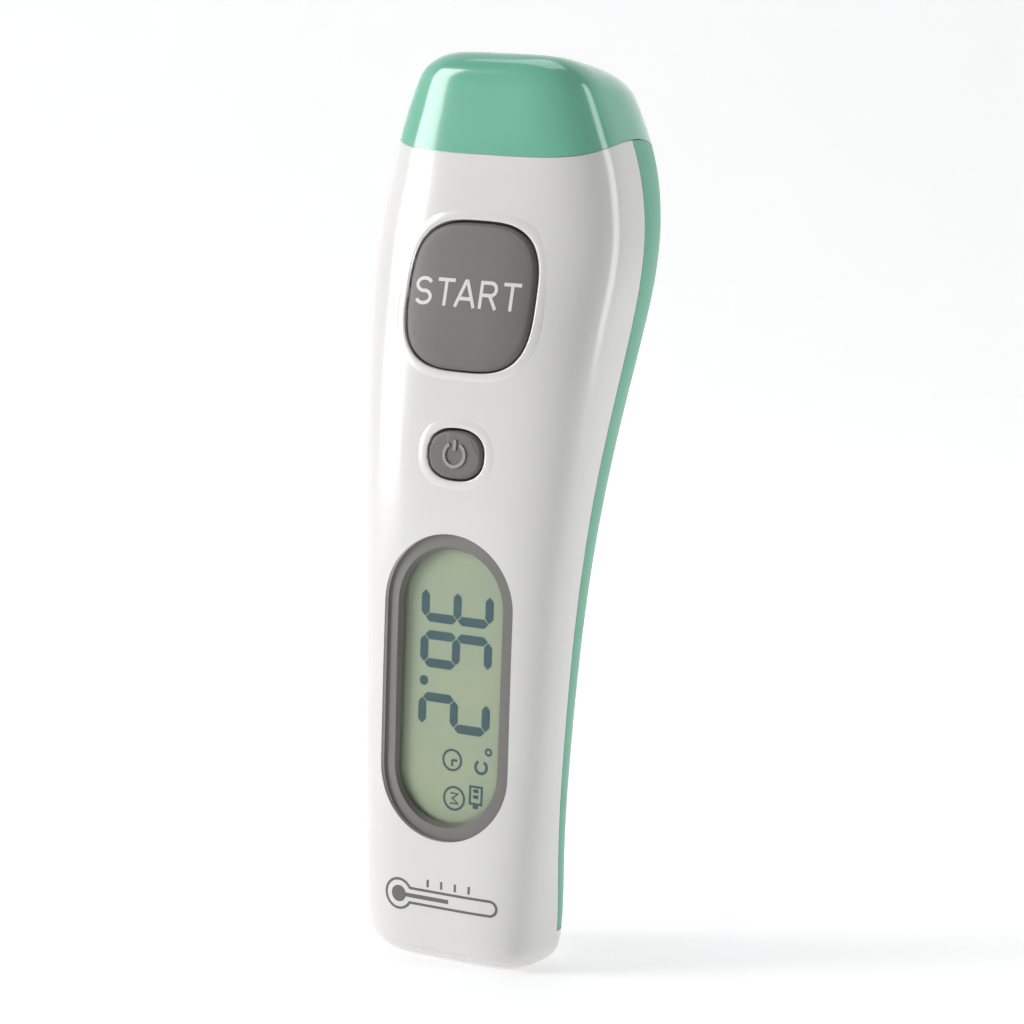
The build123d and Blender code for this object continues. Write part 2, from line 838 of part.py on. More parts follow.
def make_spring(name, x, base, side):
    turns = 2
    rise = spring_height - 2 * spring_wire - 2 * layer_gap
    start = base + side * (spring_wire + layer_gap)
    path = Helix(pitch=rise / turns, height=rise, radius=spring_turn_radius)
    path = Plane(origin=(x, cell_depth, start), z_dir=(0, 0, side)) * path
    with BuildPart() as spring:
        with BuildLine():
            add(path)
        with BuildSketch(Plane(origin=path @ 0, z_dir=path % 0)):
            Circle(spring_wire)
        sweep(is_frenet=True)
    finish(spring, name)


make_spring("spring_left", cell_places["left"], low_plate, 1)
make_spring("spring_right", cell_places["right"], high_plate, -1)

# ---- sensor stack, from the mouth of the funnel down to its board
sensor_axis = Plane(origin=(0, sensor_depth, 0))
funnel_top = nose_top - 0.3
funnel_bottom = funnel_top - funnel_length
lip_top = nose_top - nose_plate - part_gap
filter_top = funnel_bottom - layer_gap
can_top = filter_top - filter_thickness - layer_gap
can_bottom = can_top - can_height
board_top_face = can_bottom - can_base - layer_gap
holder_top = lip_top - funnel_lip - layer_gap
holder_inner = can_base_radius + part_gap


def turned(profile):
    with BuildPart() as piece:
        with BuildSketch(Plane.XZ):
            with BuildLine():
                Polyline(*profile, close=True)
            make_face()
        revolve(axis=Axis.Z)
    return piece.part.moved(Location((0, sensor_depth, 0)))


funnel_profile = [
    (funnel_throat, funnel_bottom),
    (funnel_mouth, funnel_top),
    (funnel_mouth + funnel_wall, funnel_top),
    (funnel_mouth + funnel_wall, lip_top),
    (funnel_mouth + funnel_wall + funnel_lip, lip_top),
    (funnel_mouth + funnel_wall + funnel_lip, lip_top - funnel_lip),
    (funnel_throat + 1.4, lip_top - funnel_lip),
    (funnel_throat + 1.4, funnel_bottom),
]
with BuildPart() as sensor_funnel:
    add(turned(funnel_profile))
finish(sensor_funnel, "sensor_funnel")

with BuildPart() as sensor_filter:
    with BuildSketch(sensor_axis.offset(filter_top - filter_thickness)):
        Circle(filter_radius)
    extrude(amount=filter_thickness)
finish(sensor_filter, "sensor_filter")

with BuildPart() as thermopile_can:
    with BuildSketch(sensor_axis.offset(can_bottom)):
        Circle(can_radius)
    extrude(amount=can_height)
    fillet(thermopile_can.edges().group_by(Axis.Z)[-1], 0.4)
    with BuildSketch(sensor_axis.offset(can_bottom - can_base)):
        Circle(can_base_radius)
    extrude(amount=can_base)
finish(thermopile_can, "thermopile_can")

with BuildPart() as sensor_holder:
    with BuildSketch(sensor_axis.offset(board_top_face + layer_gap)):
        Circle(holder_inner + holder_wall)
        Circle(holder_inner, mode=Mode.SUBTRACT)
    extrude(amount=holder_top - board_top_face - layer_gap)
finish(sensor_holder, "sensor_holder")

pin_places = [(1.8, 1.8), (-1.8, 1.8), (-1.8, -1.8), (1.8, -1.8)]
with BuildPart() as sensor_board:
    with BuildSketch(sensor_axis.offset(board_top_face)):
        Circle(sensor_board_radius)
        with Locations(*pin_places):
            Circle(pin_radius + pilot_clearance, mode=Mode.SUBTRACT)
    extrude(amount=-board_thickness)
finish(sensor_board, "sensor_board")

with BuildPart() as sensor_pins:
    with BuildSketch(sensor_axis.offset(can_bottom - can_base)):
        with Locations(*pin_places):
            Circle(pin_radius)
    extrude(amount=-board_thickness - 1)
finish(sensor_pins, "sensor_pins")


# ---- flat ribbons: a thin band along a route in the middle plane
def make_ribbon(name, route, radius):
    with BuildPart() as ribbon:
        with BuildSketch(Plane.YZ):
            with BuildLine():
                FilletPolyline(*route, radius=radius)
            trace(line_width=ribbon_thickness)
        extrude(amount=ribbon_width / 2, both=True)
    finish(ribbon, name)


# a point on the back of the button board, along it from its middle
def behind_start_board(along):
    lift = board_thickness + ribbon_thickness / 2 + layer_gap
    point = start_board_plane.offset(-lift).from_local_coords((0, along, 0))
    return (point.Y, point.Z)


ribbon_lift = ribbon_thickness / 2 + layer_gap
ribbon_bend = 1.2
link_route = [
    (board_back + ribbon_lift, board_top - 5),
    (board_back + ribbon_lift, board_top + 1.5),
    behind_start_board(-start_board_half_height - 1.5),
    behind_start_board(-start_board_half_height + 4),
]
make_ribbon("link_ribbon", link_route, ribbon_bend)

sensor_board_under = board_top_face - board_thickness - ribbon_lift
sensor_route = [
    behind_start_board(start_board_half_height - 4),
    behind_start_board(start_board_half_height + 1.5),
    (sensor_depth - sensor_board_radius - 1, sensor_board_under),
    (sensor_depth - 4, sensor_board_under),
]
make_ribbon("sensor_ribbon", sensor_route, ribbon_bend)
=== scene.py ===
import math
import bpy
import bmesh
import numpy as np
from mathutils import Matrix, Vector
from mathutils.bvhtree import BVHTree


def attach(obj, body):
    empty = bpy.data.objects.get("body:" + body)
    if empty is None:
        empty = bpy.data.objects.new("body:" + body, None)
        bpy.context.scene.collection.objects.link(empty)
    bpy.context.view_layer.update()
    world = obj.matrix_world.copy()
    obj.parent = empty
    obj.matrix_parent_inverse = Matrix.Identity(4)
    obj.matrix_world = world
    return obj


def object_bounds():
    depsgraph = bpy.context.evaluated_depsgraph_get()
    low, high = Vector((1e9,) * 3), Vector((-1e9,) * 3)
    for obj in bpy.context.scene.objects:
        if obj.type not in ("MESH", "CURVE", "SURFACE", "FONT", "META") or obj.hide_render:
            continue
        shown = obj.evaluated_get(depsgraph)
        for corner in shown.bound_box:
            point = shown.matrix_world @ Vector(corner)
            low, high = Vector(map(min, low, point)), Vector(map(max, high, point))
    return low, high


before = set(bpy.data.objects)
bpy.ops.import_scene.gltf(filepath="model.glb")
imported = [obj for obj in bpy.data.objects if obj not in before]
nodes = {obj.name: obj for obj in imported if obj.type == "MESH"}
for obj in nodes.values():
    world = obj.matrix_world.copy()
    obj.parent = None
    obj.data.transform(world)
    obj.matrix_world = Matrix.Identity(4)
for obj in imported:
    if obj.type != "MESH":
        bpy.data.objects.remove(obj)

cadLow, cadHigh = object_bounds()
mm = 0.001

# camera: first, so that everything else is judged through it
cameraPlace = {"azimuth": 28.87, "elevation": 8.46, "roll": 2.13, "distance": 0.574, "lens": 122.7,
               "target": (0.0056, 0.0, 0.0753)}


# the camera stands back from its target along an azimuth and an elevation, then rolls about that line
def makeCamera(place):
    azimuth, elevation, roll = (math.radians(place[key]) for key in ("azimuth", "elevation", "roll"))
    back = np.array([math.sin(azimuth) * math.cos(elevation), -math.cos(azimuth) * math.cos(elevation),
                     math.sin(elevation)])
    right = np.array([math.cos(azimuth), math.sin(azimuth), 0.0])
    up = np.cross(back, right)
    turnedRight = math.cos(roll) * right + math.sin(roll) * up
    turnedUp = math.cos(roll) * up - math.sin(roll) * right
    camera = bpy.data.objects.new("camera", bpy.data.cameras.new("camera"))
    bpy.context.scene.collection.objects.link(camera)
    matrix = np.eye(4)
    matrix[:3, 0], matrix[:3, 1], matrix[:3, 2] = turnedRight, turnedUp, back
    matrix[:3, 3] = np.array(place["target"]) + back * place["distance"]
    camera.matrix_world = Matrix(matrix.tolist())
    camera.data.lens = place["lens"]
    camera.data.sensor_width = 36
    camera.data.clip_start = 0.01
    bpy.context.scene.camera = camera


makeCamera(cameraPlace)
print("camera in place")


# shader helper: a socket that takes part in Python expressions
class Wire:
    def __init__(self, tree, socket):
        self.tree, self.socket = tree, socket

    def maths(self, operation, *values):
        return self.tree.add("ShaderNodeMath", {"operation": operation}, dict(enumerate(values)))

    def __add__(self, other):
        return self.maths("ADD", self, other)

    __radd__ = __add__

    def __mul__(self, other):
        return self.maths("MULTIPLY", self, other)

    __rmul__ = __mul__

    def __sub__(self, other):
        return self.maths("SUBTRACT", self, other)

    def __rsub__(self, other):
        return self.maths("SUBTRACT", other, self)

    def clipped(self, low, high):
        return self.tree.add("ShaderNodeMapRange", {"clamp": True}, {0: self, 1: low, 2: high})


class Surface:
    def __init__(self, name, colour, roughness, **fixed):
        self.material = bpy.data.materials.new(name)
        self.material.use_nodes = True
        self.nodes = self.material.node_tree.nodes
        self.links = self.material.node_tree.links
        self.shader = self.nodes["Principled BSDF"]
        self.shader.inputs["Base Color"].default_value = (*colour, 1)
        self.shader.inputs["Roughness"].default_value = roughness
        for key, value in fixed.items():
            self.shader.inputs[key.replace("_", " ")].default_value = value

    # any node: its type, its settings, then the values or wires of its sockets
    def add(self, kind, settings=None, sockets=None, out=0):
        node = self.nodes.new(kind)
        for key, value in (settings or {}).items():
            setattr(node, key, value)
        for key, value in (sockets or {}).items():
            if isinstance(value, Wire):
                self.links.new(value.socket, node.inputs[key])
            else:
                node.inputs[key].default_value = value
        return Wire(self, node.outputs[out])

    def place(self):
        return self.add("ShaderNodeTexCoord", out="Object")

    def noise(self, scale, detail=2.0, roughness=0.5, vector=None):
        return self.add("ShaderNodeTexNoise", {},
                        {"Vector": vector or self.place(), "Scale": scale, "Detail": detail,
                         "Roughness": roughness})

    def mixed(self, share, first, second):
        colours = {6: first if isinstance(first, Wire) else (*first, 1),
                   7: second if isinstance(second, Wire) else (*second, 1)}
        return self.add("ShaderNodeMix", {"data_type": "RGBA"}, {0: share, **colours}, out=2)

    def feed(self, socket, wire):
        self.links.new(wire.socket, self.shader.inputs[socket])

    def bump(self, height, strength, distance):
        self.feed("Normal", self.add("ShaderNodeBump", {}, {"Strength": strength, "Distance": distance,
                                                            "Height": height}))


# moulded plastic: a slow drift of shade, cloudy roughness and a fine grain on the skin
def plastic(name, colour, roughness, grain=5000, strength=0.05, depth=0.00002, drift=0.05, **fixed):
    surface = Surface(name, colour, roughness, **fixed)
    cloud = surface.noise(60, 3).clipped(0.3, 0.7)
    dark = tuple(c * (1 - drift) for c in colour)
    light = tuple(min(1, c * (1 + drift)) for c in colour)
    surface.feed("Base Color", surface.mixed(cloud, dark, light))
    surface.feed("Roughness", roughness * 0.85 + surface.noise(180, 4) * (roughness * 0.3))
    surface.bump(surface.noise(grain, 2), strength, depth)
    return surface.material


# bare metal: brushed streaks in the roughness and faint smudges
def metal(name, colour, roughness, streak=900):
    surface = Surface(name, colour, roughness, Metallic=1.0)
    stretched = surface.add("ShaderNodeMapping", {}, {"Vector": surface.place(), "Scale": (1, 1, 0.08)})
    lines = surface.noise(streak, 3, vector=stretched)
    smudge = surface.noise(150, 2)
    surface.feed("Roughness", roughness * 0.7 + lines * (roughness * 0.6))
    surface.feed("Base Color", surface.mixed(smudge, tuple(c * 0.88 for c in colour), colour))
    surface.bump(lines, 0.15, 0.00001)
    return surface.material


# solder mask over copper: tracks show as slightly raised, lighter lines
def boardSkin(name, colour):
    surface = Surface(name, colour, 0.35)
    tracks = surface.add("ShaderNodeTexBrick", {}, {"Vector": surface.place(), "Scale": 260.0,
                                                    "Mortar Size": 0.018}, out="Fac")
    surface.feed("Base Color", surface.mixed(tracks, colour, tuple(min(1, c * 1.9 + 0.02) for c in colour)))
    surface.feed("Roughness", 0.3 + surface.noise(400, 3) * 0.15)
    surface.bump(tracks, 0.3, 0.00003)
    return surface.material


# the display: a grey-green polariser with a faint fibrous cast and slow, slightly cooler drifts
def displaySkin(name):
    surface = Surface(name, (0.345, 0.405, 0.262), 0.3, Specular_IOR_Level=0.3)
    slow = surface.noise(90, 3).clipped(0.35, 0.7)
    base = surface.mixed(slow, (0.36, 0.42, 0.27), (0.315, 0.395, 0.285))
    stretched = surface.add("ShaderNodeMapping", {}, {"Vector": surface.place(), "Scale": (1, 1, 0.15)})
    fibre = surface.noise(2600, 2, vector=stretched).clipped(0.3, 0.8)
    surface.feed("Base Color", surface.mixed(fibre * 0.25, base, (0.42, 0.46, 0.31)))
    surface.feed("Roughness", 0.28 + surface.noise(700, 2) * 0.1)
    surface.bump(fibre, 0.05, 0.00001)
    return surface.material


# the paper and film jacket of a cell: a dark band at the foot and a lighter body
def cellJacket(name):
    surface = Surface(name, (0.05, 0.16, 0.3), 0.3, Metallic=0.35)
    height = surface.add("ShaderNodeSeparateXYZ", {}, {0: surface.place()}, out="Z")
    band = height.clipped(0.019, 0.0192)
    surface.feed("Base Color", surface.mixed(band, (0.02, 0.02, 0.025), (0.09, 0.26, 0.36)))
    surface.feed("Roughness", 0.25 + surface.noise(300, 3) * 0.2)
    surface.bump(surface.noise(2500, 2), 0.05, 0.00001)
    return surface.material


finish = {
    "shellWhite": plastic("shellWhite", (0.7, 0.693, 0.68), 0.2, drift=0.012, strength=0.02, Coat_Weight=0.35,
                          Coat_Roughness=0.08),
    "shellMint": plastic("shellMint", (0.165, 0.46, 0.325), 0.17, drift=0.03, strength=0.02, Coat_Weight=0.45,
                         Coat_Roughness=0.06),
    "mintSatin": plastic("mintSatin", (0.15, 0.42, 0.295), 0.38, grain=4500, strength=0.08, drift=0.03,
                         Specular_IOR_Level=0.25),
    "buttonGrey": plastic("buttonGrey", (0.135, 0.128, 0.118), 0.42, grain=3800, strength=0.5, depth=0.00003,
                          drift=0.06),
    "raisedGrey": plastic("raisedGrey", (0.3, 0.29, 0.275), 0.35, grain=3800, strength=0.3, drift=0.06),
    "bezelGrey": plastic("bezelGrey", (0.185, 0.177, 0.165), 0.3, grain=4200, strength=0.15, drift=0.04),
    "noseBlack": plastic("noseBlack", (0.028, 0.028, 0.03), 0.4, grain=3000, strength=0.3, drift=0.15),
    "trayWhite": plastic("trayWhite", (0.72, 0.72, 0.7), 0.45, grain=3000, strength=0.3),
    "rubberDark": plastic("rubberDark", (0.06, 0.06, 0.065), 0.65, grain=2500, strength=0.4, drift=0.1),
    "ceramic": plastic("ceramic", (0.55, 0.42, 0.26), 0.5, grain=6000, strength=0.2, drift=0.15),
    "ribbonFilm": plastic("ribbonFilm", (0.5, 0.24, 0.05), 0.25, grain=900, strength=0.1, drift=0.12),
    "printGrey": plastic("printGrey", (0.135, 0.132, 0.125), 0.4, grain=6000, strength=0.2, drift=0.08),
    "printLight": plastic("printLight", (0.66, 0.655, 0.64), 0.45, grain=6000, strength=0.2, drift=0.05),
    "segmentTeal": plastic("segmentTeal", (0.009, 0.07, 0.085), 0.5, grain=6000, strength=0.1, drift=0.1),
    "lensWarm": plastic("lensWarm", (0.85, 0.75, 0.35), 0.2, strength=0.05, drift=0.1),
    "steel": metal("steel", (0.62, 0.62, 0.6), 0.28),
    "nickel": metal("nickel", (0.7, 0.67, 0.6), 0.22),
    "gold": metal("gold", (0.9, 0.66, 0.28), 0.12),
    "turned": metal("turned", (0.72, 0.72, 0.73), 0.3),
    "board": boardSkin("board", (0.015, 0.12, 0.05)),
    "display": displaySkin("display"),
    "jacket": cellJacket("jacket"),
    "filter": plastic("filter", (0.03, 0.03, 0.04), 0.08, strength=0.02, drift=0.3, Metallic=0.6),
    "window": plastic("window", (0.5, 0.52, 0.5), 0.04, strength=0.01, drift=0.01, Alpha=0.035),
}
print("materials made")

# the wand's form, by the formula of the frame's own shells: millimetres here, metres in the meshes
wand = {"length": 150.0, "head": 66.0, "foot": 32.6, "grip": 36.0, "neck": 41.2, "brow": 46.0,
        "crown": 30.2, "gripFront": 10.5, "gripBack": 11.4, "headBack": 33.4, "footRound": 4.5, "crownRound": 5.5,
        "crownTilt": 8.0, "frontSquareness": 3.8, "backSquareness": 2.05, "startDrop": 39.2,
        "powerDrop": 64.8}
neckHeight = wand["length"] - wand["head"]
crownTop = wand["length"] + wand["crownRound"] * math.sin(math.radians(wand["crownTilt"]))


# low plus a share of the way to high
def mixOf(low, high, share):
    return low + (high - low) * share


gripBack, headBack, gripFront = wand["gripBack"], wand["headBack"], wand["gripFront"]
sections = np.array([
    (0, wand["foot"] / 2, gripFront - 0.9, 1.5, gripBack - 1.7),
    (neckHeight * 0.21, (wand["foot"] + wand["grip"]) / 4, gripFront - 0.1, -0.6, gripBack - 1.0),
    (neckHeight * 0.48, wand["grip"] / 2, gripFront, -1.6, gripBack),
    (neckHeight * 0.74, mixOf(wand["grip"], wand["neck"], 0.35) / 2, gripFront + 0.1, -0.6, gripBack + 3.0),
    (neckHeight, wand["neck"] / 2, gripFront - 0.9, 1.9, mixOf(gripBack, headBack, 0.38)),
    (wand["length"] - 46, mixOf(wand["neck"], wand["brow"], 0.72) / 2, 7.9, 6.7,
     mixOf(gripBack, headBack, 0.71)),
    (wand["length"] - 30, wand["brow"] / 2, 4.6, 9.7, headBack - 1.3),
    (wand["length"] - 18, mixOf(wand["brow"], wand["crown"], 0.24) / 2, 3.2, 10.6, headBack),
    (wand["length"] - 9, mixOf(wand["brow"], wand["crown"], 0.62) / 2, 3.0, 10.1, headBack - 0.5),
    (wand["length"], wand["crown"] / 2, 3.0, 9.4, headBack - 1.1),
])


# a cubic through the sections, with the slope at each taken across its two neighbours
def column(index, height):
    heights, values = sections[:, 0], sections[:, index]
    last = len(heights) - 1
    low, high = np.maximum(np.arange(last + 1) - 1, 0), np.minimum(np.arange(last + 1) + 1, last)
    slopes = (values[high] - values[low]) / (heights[high] - heights[low])
    height = np.asarray(height, float)
    at = np.clip(np.searchsorted(heights, height, side="right") - 1, 0, last - 1)
    span = heights[at + 1] - heights[at]
    s = (height - heights[at]) / span
    level = (2 * s**3 - 3 * s**2 + 1) * values[at] + (3 * s**2 - 2 * s**3) * values[at + 1]
    return level + ((s**3 - 2 * s**2 + s) * slopes[at] + (s**3 - s**2) * slopes[at + 1]) * span


# a point on the skin: a squircle about the seam's middle, squarer in front, leaning back near the crown
def skin(angle, height, pull=0.0):
    c, s = np.cos(angle), np.sin(angle)
    power = np.where(s < 0, wand["frontSquareness"], wand["backSquareness"])
    reach = (np.abs(c)**power + np.abs(s)**power)**(-1 / power)
    seam = column(3, height)
    depth = np.where(s < 0, seam + column(2, height), column(4, height) - seam) - pull
    x = (column(1, height) - pull) * c * reach
    y = seam + depth * s * reach
    leanStart = wand["length"] - 18
    lean = math.radians(wand["crownTilt"]) * np.maximum(0, (height - leanStart) / 18)
    z = height - (y + column(2, height)) * np.tan(lean)
    return np.stack(np.broadcast_arrays(x, y, z), -1)


# how far forward the skin is at x and height: the front half of the same squircle
def skinDepth(x, height):
    power = wand["frontSquareness"]
    half, seam = column(1, height), column(3, height)
    share = np.clip(1 - (np.abs(x) / half)**power, 0, 1)
    return seam - (seam + column(2, height)) * share**(1 / power)


# mesh builder: grids of points joined into one closed piece
class Piece:
    def __init__(self, name):
        self.name, self.points, self.faces, self.count = name, [], [], 0

    # a grid of points, rows by columns; round closes it along its columns
    def grid(self, points, roundColumns=False):
        rows, columns = points.shape[:2]
        index = np.arange(rows * columns).reshape(rows, columns) + self.count
        if roundColumns:
            index = np.concatenate([index, index[:, :1]], 1)
        quads = np.stack([index[:-1, :-1], index[:-1, 1:], index[1:, 1:], index[1:, :-1]], -1).reshape(-1, 4)
        self.points.append(points.reshape(-1, 3))
        self.faces.append(quads)
        self.count += rows * columns

    # welds what meets, turns every face outwards and hands the piece to its body
    def build(self, material, body, edge=0.0, smooth=35, weld=0.004):
        mesh = bpy.data.meshes.new(self.name)
        points = np.concatenate(self.points) * mm
        mesh.from_pydata(points.tolist(), [], np.concatenate(self.faces).tolist())
        work = bmesh.new()
        work.from_mesh(mesh)
        bmesh.ops.remove_doubles(work, verts=work.verts, dist=weld * mm)
        bmesh.ops.dissolve_degenerate(work, dist=weld * mm / 4, edges=work.edges)
        bmesh.ops.recalc_face_normals(work, faces=work.faces)
        work.to_mesh(mesh)
        work.free()
        mesh.materials.append(material)
        mesh.polygons.foreach_set("use_smooth", np.ones(len(mesh.polygons), bool))
        mesh.set_sharp_from_angle(angle=math.radians(smooth))
        piece = bpy.data.objects.new(self.name, mesh)
        bpy.context.scene.collection.objects.link(piece)
        if edge:
            bevel = piece.modifiers.new("edge", "BEVEL")
            bevel.width, bevel.segments, bevel.limit_method = edge * mm, 2, "ANGLE"
            bevel.angle_limit, bevel.harden_normals = math.radians(50), True
        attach(piece, body)


print("form and builders ready")

# the studio: a pale sweep, one large soft light from the front left and weaker ones from the right and above
studio = {"floorHalf": 9.0, "floorFront": -12.0, "wallBack": 1.3, "bend": 0.7, "wallTop": 3.0,
          "white": (0.86, 0.86, 0.86), "aim": (0, 0, 0.075), "air": (0.93, 0.95, 1.0, 1), "airStrength": 0.16}


# the sweep: flat floor, a quarter circle of radius bend, then an upright wall
def makeSweep():
    quarter = np.linspace(0, math.pi / 2, 24)
    bendStart = studio["wallBack"] - studio["bend"]
    depth = np.concatenate([[studio["floorFront"]], bendStart + studio["bend"] * np.sin(quarter),
                            [studio["wallBack"]]])
    height = np.concatenate([[0.0], studio["bend"] * (1 - np.cos(quarter)), [studio["wallTop"]]])
    side = np.array([-studio["floorHalf"], studio["floorHalf"]])
    points = np.stack([np.broadcast_to(side, (len(depth), 2)), np.repeat(depth[:, None], 2, 1),
                       np.repeat(height[:, None], 2, 1)], -1).reshape(-1, 3)
    index = np.arange(len(points)).reshape(-1, 2)
    quads = np.stack([index[:-1, 0], index[:-1, 1], index[1:, 1], index[1:, 0]], -1)
    mesh = bpy.data.meshes.new("sweep")
    mesh.from_pydata(points.tolist(), [], quads.tolist())
    mesh.polygons.foreach_set("use_smooth", np.ones(len(mesh.polygons), bool))
    mesh.materials.append(plastic("sweepPaper", studio["white"], 0.7, grain=400, strength=0.02, drift=0.01,
                                  Emission_Color=(1, 1, 1, 1), Emission_Strength=0.35))
    sweep = bpy.data.objects.new("sweep", mesh)
    bpy.context.scene.collection.objects.link(sweep)
    turn = Matrix.Rotation(math.radians(cameraPlace["azimuth"]), 4, "Z")
    sweep.matrix_world = turn


# a soft rectangle of light, turned towards the middle of the wand
def makeLight(name, place, size, power):
    light = bpy.data.lights.new(name, "AREA")
    light.shape, light.size, light.size_y = "RECTANGLE", size[0], size[1]
    light.energy = power
    lamp = bpy.data.objects.new(name, light)
    bpy.context.scene.collection.objects.link(lamp)
    aim = Vector(studio["aim"]) - Vector(place)
    lamp.matrix_world = Matrix.Translation(place) @ aim.to_track_quat("-Z", "Y").to_matrix().to_4x4()


makeSweep()
lamps = {"keyLight": {"place": (-0.95, -0.75, 0.45), "size": (0.5, 0.9), "power": 12.5},
         "edgeLight": {"place": (0.95, 0.3, 0.35), "size": (0.3, 0.9), "power": 3.6},
         "topLight": {"place": (-0.2, 0.1, 1.2), "size": (0.7, 0.7), "power": 3.6}}
for lampName, lamp in lamps.items():
    makeLight(lampName, lamp["place"], lamp["size"], lamp["power"])
world = bpy.data.worlds.new("studioAir")
bpy.context.scene.world = world
world.use_nodes = True
world.node_tree.nodes["Background"].inputs["Color"].default_value = studio["air"]
world.node_tree.nodes["Background"].inputs["Strength"].default_value = studio["airStrength"]
bpy.context.scene.view_settings.view_transform = "Standard"
print("studio ready")

# finishes of the frame's own pieces
nodeFinish = {
    "shellWhite": "front_shell", "shellMint": "protective_cap", "mintSatin": "rear_shell battery_door",
    "buttonGrey": "start_button power_button", "bezelGrey": "display_bezel", "window": "display_window",
    "display": "lcd_glass", "trayWhite": "battery_tray lcd_reflector", "rubberDark": "elastomer_strips",
    "board": "main_board start_board sensor_board", "noseBlack": "sensor_nose buzzer controller_chip",
    "steel": "shell_screws start_switch power_switch crystal_can", "ceramic": "chip_capacitors",
    "lensWarm": "backlight_leds", "jacket": "cell_left cell_right",
    "nickel": "cell_bridge contact_plate_left contact_plate_right spring_left spring_right sensor_pins",
    "gold": "sensor_funnel", "filter": "sensor_filter", "turned": "thermopile_can sensor_holder",
    "ribbonFilm": "link_ribbon sensor_ribbon",
}
for finishName, nodeNames in nodeFinish.items():
    for nodeName in nodeNames.split():
        mesh = nodes[nodeName].data
        mesh.materials.clear()
        mesh.materials.append(finish[finishName])
        mesh.polygons.foreach_set("material_index", np.zeros(len(mesh.polygons), np.int32))

# a hidden guide that lends its normals to the outer skins, about 0.2 mm off them at most where probed
guide = {"columns": 288, "rows": 300, "reach": 0.7}


# heights up the form and how far each is drawn in: a quarter circle at the foot and one at the crown
def guideHeights():
    quarter = np.linspace(0, math.pi / 2, 18)
    foot = wand["footRound"] * (1 - np.sin(quarter[::-1])), wand["footRound"] * (1 - np.cos(quarter[::-1]))
    crown = crownTop - wand["crownRound"] * (1 - np.sin(quarter)), wand["crownRound"] * (1 - np.cos(quarter))
    middle = np.linspace(foot[0][-1], crown[0][0], guide["rows"])[1:-1]
    return (np.concatenate([foot[0], middle, crown[0]]),
            np.concatenate([foot[1], np.zeros(len(middle)), crown[1]]))


# the skin on a grid of heights by angles, never rendered
def makeGuide():
    heights, pulls = guideHeights()
    angles = np.arange(guide["columns"]) * 2 * math.pi / guide["columns"]
    points = skin(angles[None, :], heights[:, None], pulls[:, None])
    index = np.arange(points.shape[0] * points.shape[1]).reshape(points.shape[:2])
    index = np.concatenate([index, index[:, :1]], 1)
    quads = np.stack([index[:-1, :-1], index[:-1, 1:], index[1:, 1:], index[1:, :-1]], -1).reshape(-1, 4)
    mesh = bpy.data.meshes.new("skinGuide")
    mesh.from_pydata((points.reshape(-1, 3) * mm).tolist(), [], quads.tolist())
    mesh.polygons.foreach_set("use_smooth", np.ones(len(mesh.polygons), bool))
    made = bpy.data.objects.new("skinGuide", mesh)
    bpy.context.scene.collection.objects.link(made)
    made.hide_render = made.hide_viewport = True
    return made


skinGuide = makeGuide()
for nodeName in ("front_shell", "rear_shell", "battery_door", "protective_cap"):
    faces = nodes[nodeName].data.polygons
    faces.foreach_set("use_smooth", np.ones(len(faces), bool))
    lent = nodes[nodeName].modifiers.new("skinNormals", "DATA_TRANSFER")
    lent.object, lent.use_loop_data, lent.data_types_loops = skinGuide, True, {"CUSTOM_NORMAL"}
    lent.loop_mapping = "POLYINTERP_LNORPROJ"
    lent.use_max_distance, lent.max_distance = True, guide["reach"] * mm
# the buttons' crowns get a soft moulded edge
for nodeName, width in (("start_button", 0.42), ("power_button", 0.34)):
    joined = nodes[nodeName].modifiers.new("joined", "WELD")
    joined.merge_threshold = 0.001 * mm
    eased = nodes[nodeName].modifiers.new("eased", "BEVEL")
    eased.width, eased.segments = width * mm, 4
    eased.limit_method, eased.angle_limit = "ANGLE", math.radians(48)
    eased.harden_normals = True
print("frame pieces finished")


# marks: flat strokes laid on a surface
# a frame piece as a tree that rays can be cast at
def treeOf(nodeName):
    mesh = nodes[nodeName].data
    return BVHTree.FromPolygons([v.co for v in mesh.vertices], [tuple(p.vertices) for p in mesh.polygons])


# a surface met from the front: how deep the node lies at x and height z
def onNode(nodeName):
    tree = treeOf(nodeName)

    def depth(x, z):
        hit = tree.ray_cast(Vector((x * mm, -0.1, z * mm)), Vector((0, 1, 0)))[0]
        return hit.y / mm

    return depth


